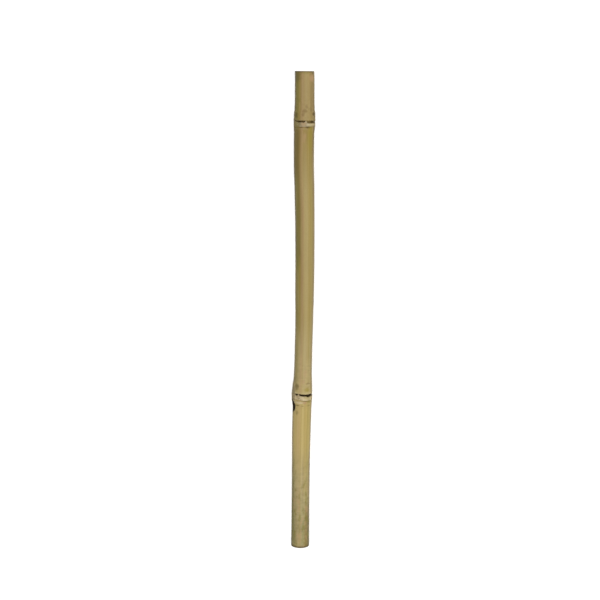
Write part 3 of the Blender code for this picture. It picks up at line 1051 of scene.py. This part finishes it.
def fibre_material(colours):
    """Torn, bleached fibres."""
    material, nodes, shader = start_material("sheath_fibre", Specular_IOR_Level=0.3)
    here = nodes.add("ShaderNodeTexCoord", {}, {}, "Object")
    tint = here.noise(330.0)
    shade = nodes.mix(tint.smooth(-0.5, 0.5), rgba(colours.cork_shade), rgba(colours.cork))
    finish_material(nodes, shader, shade, 0.85 + tint * 0.08, tint, 0.02 * MM)
    return material


def hand_over(piece, *nodes_replaced):
    """Says what a finished piece rides on and stands for."""
    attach(piece, "root")
    if nodes_replaced:
        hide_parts(*nodes_replaced)


class CANE_OT_culm(bpy.types.Operator):
    """Make the culm with its joints, twig stub, sawn ends and hollows"""

    bl_idname = "cane.culm"
    bl_label = "Culm"

    def execute(self, context):
        """Runs the culm's geometry tree and gives the mesh its finishes."""
        scene = context.scene
        colours = scene.cane_colours
        offered = [
            ("Culm", scene.cane_culm),
            ("Near joint", scene.cane_near_joint),
            ("Far joint", scene.cane_far_joint),
            ("Stub", scene.cane_stub),
        ]
        finishes = (skin_material(colours), sawn_material(colours), lining_material(colours))
        nodes, geometry = culm_tree(offered, finishes)
        culm = geometry_piece("culm", nodes, geometry, offered)
        culm.data.shade_smooth()
        culm.data.set_sharp_from_angle(angle=math.radians(SHARP_ANGLE))
        hand_over(culm, "cane")
        return {"FINISHED"}


class CANE_OT_fibres(bpy.types.Operator):
    """Make the torn sheath fibres on the culm's joints"""

    bl_idname = "cane.fibres"
    bl_label = "Sheath fibres"

    def execute(self, context):
        """Grows fibres where the culm's marks say that its rims and cork are."""
        culm = context.scene.objects.get("culm")
        if culm is None:
            raise RuntimeError("make the culm before its fibres")
        offered = [("Fibre", context.scene.cane_fibres)]
        nodes, geometry = fibre_tree(offered, culm, fibre_material(context.scene.cane_colours))
        fibres = geometry_piece("sheath_fibres", nodes, geometry, offered)
        fibres.data.shade_smooth()
        hand_over(fibres)
        return {"FINISHED"}


class CANE_OT_stage(bpy.types.Operator):
    """Make the floor, the lights and the camera"""

    bl_idname = "cane.stage"
    bl_label = "Stage"

    def execute(self, context):
        """Lays a pale floor, lights it softly and looks down on the cane."""
        scene = context.scene
        stage = scene.cane_stage
        floor_mesh = bpy.data.meshes.new("floor")
        signs = ((-1, -1), (1, -1), (1, 1), (-1, 1))
        corners = [(FLOOR_HALF * x, FLOOR_HALF * y, LOW.z - FLOOR_GAP) for x, y in signs]
        floor_mesh.from_pydata(corners, [], [(0, 1, 2, 3)])
        material, _, shader = start_material("pale_floor", Roughness=0.9, Specular_IOR_Level=0.1)
        shader.inputs["Base Color"].default_value = rgba(scene.cane_colours.floor)
        floor_mesh.materials.append(material)
        floor = bpy.data.objects.new("floor", floor_mesh)
        scene.collection.objects.link(floor)

        world = bpy.data.worlds.new("studio")
        world.use_nodes = True
        sky = world.node_tree.nodes["Background"]
        sky.inputs["Color"].default_value = (1, 1, 1, 1)
        sky.inputs["Strength"].default_value = stage.sky
        scene.world = world
        key = self.add_light(scene, "key_light", stage.key_light, stage.key_lean, stage.key_spread)
        down = self.add_light(scene, "floor_light", stage.floor_light, 0, stage.floor_spread)
        down.rotation_euler.y = -math.radians(stage.floor_lean)
        self.light_floor_apart(floor, key, down)
        self.add_camera(scene, stage)
        scene.view_settings.view_transform = "Standard"
        return {"FINISHED"}

    def add_light(self, scene, name, strength, lean, spread):
        """A far light that leans to the cane's right, and looks as wide as its spread in degrees."""
        light = bpy.data.lights.new(name, "SUN")
        light.energy = strength
        light.angle = math.radians(spread)
        lamp = bpy.data.objects.new(name, light)
        scene.collection.objects.link(lamp)
        lamp.location = (0, math.sin(math.radians(lean)), math.cos(math.radians(lean)))
        lamp.rotation_euler = (-math.radians(lean), 0, 0)
        return lamp

    def light_floor_apart(self, floor, key, down):
        """Lights the floor with its own light alone, so that the cane's shadow stays close under it."""
        for lamp, state in ((key, "EXCLUDE"), (down, "INCLUDE")):
            lit = bpy.data.collections.new(lamp.name + "_lit")
            lit.objects.link(floor)
            lit.collection_objects[0].light_linking.link_state = state
            lamp.light_linking.receiver_collection = lit

    def add_camera(self, scene, stage):
        """The photograph's view, from above the near end and leaning towards the far one."""
        lens = bpy.data.cameras.new("camera")
        lens.lens = stage.lens
        lens.sensor_width = SENSOR_WIDTH
        camera = bpy.data.objects.new("camera", lens)
        scene.collection.objects.link(camera)
        pitch = math.radians(stage.pitch)
        tilt = math.radians(stage.tilt)
        along = Vector((math.cos(tilt), math.sin(tilt), 0))
        right = Vector((-math.sin(tilt), math.cos(tilt), 0))
        forward = along * math.sin(pitch) - Vector((0, 0, math.cos(pitch)))
        upward = right.cross(forward)
        turn = Matrix((right, upward, -forward)).transposed()
        camera.rotation_euler = turn.to_euler()
        camera.location = (LOW.x, END_SIDE - stage.aside, RISE[0][1] * MM + stage.distance)
        scene.camera = camera


class CANE_PT_panel(bpy.types.Panel):
    """The cane's sizes, colours and steps"""

    bl_label = "Bamboo Cane"
    bl_idname = "CANE_PT_panel"
    bl_space_type = "VIEW_3D"
    bl_region_type = "UI"
    bl_category = "Cane"

    def draw(self, context):
        """Lists the operators and the properties."""
        layout = self.layout
        for operator in OPERATORS:
            layout.operator(operator.bl_idname)
        for name, group in GROUPS.items():
            box = layout.box()
            box.label(text=group.__doc__)
            sizes = getattr(context.scene, name)
            for field in own_fields(sizes):
                box.prop(sizes, field.identifier)


GROUPS = {
    "cane_culm": CaneCulmSizes,
    "cane_near_joint": CaneNearJoint,
    "cane_far_joint": CaneFarJoint,
    "cane_stub": CaneStubSizes,
    "cane_fibres": CaneFibreSizes,
    "cane_colours": CaneColours,
    "cane_stage": CaneStageSizes,
}
OPERATORS = (CANE_OT_culm, CANE_OT_fibres, CANE_OT_stage)
CLASSES = (*GROUPS.values(), *OPERATORS, CANE_PT_panel)


def register():
    """Registers the classes and gives the scene its settings."""
    for item in CLASSES:
        bpy.utils.register_class(item)
    for name, group in GROUPS.items():
        setattr(bpy.types.Scene, name, bpy.props.PointerProperty(type=group))


def unregister():
    """Takes the settings and the classes away again."""
    for name in GROUPS:
        delattr(bpy.types.Scene, name)
    for item in reversed(CLASSES):
        bpy.utils.unregister_class(item)


def main():
    """Makes everything in order."""
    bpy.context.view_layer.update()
    register()
    bpy.ops.cane.culm()
    bpy.ops.cane.fibres()
    bpy.ops.cane.stage()


if __name__ == "__main__":
    main()
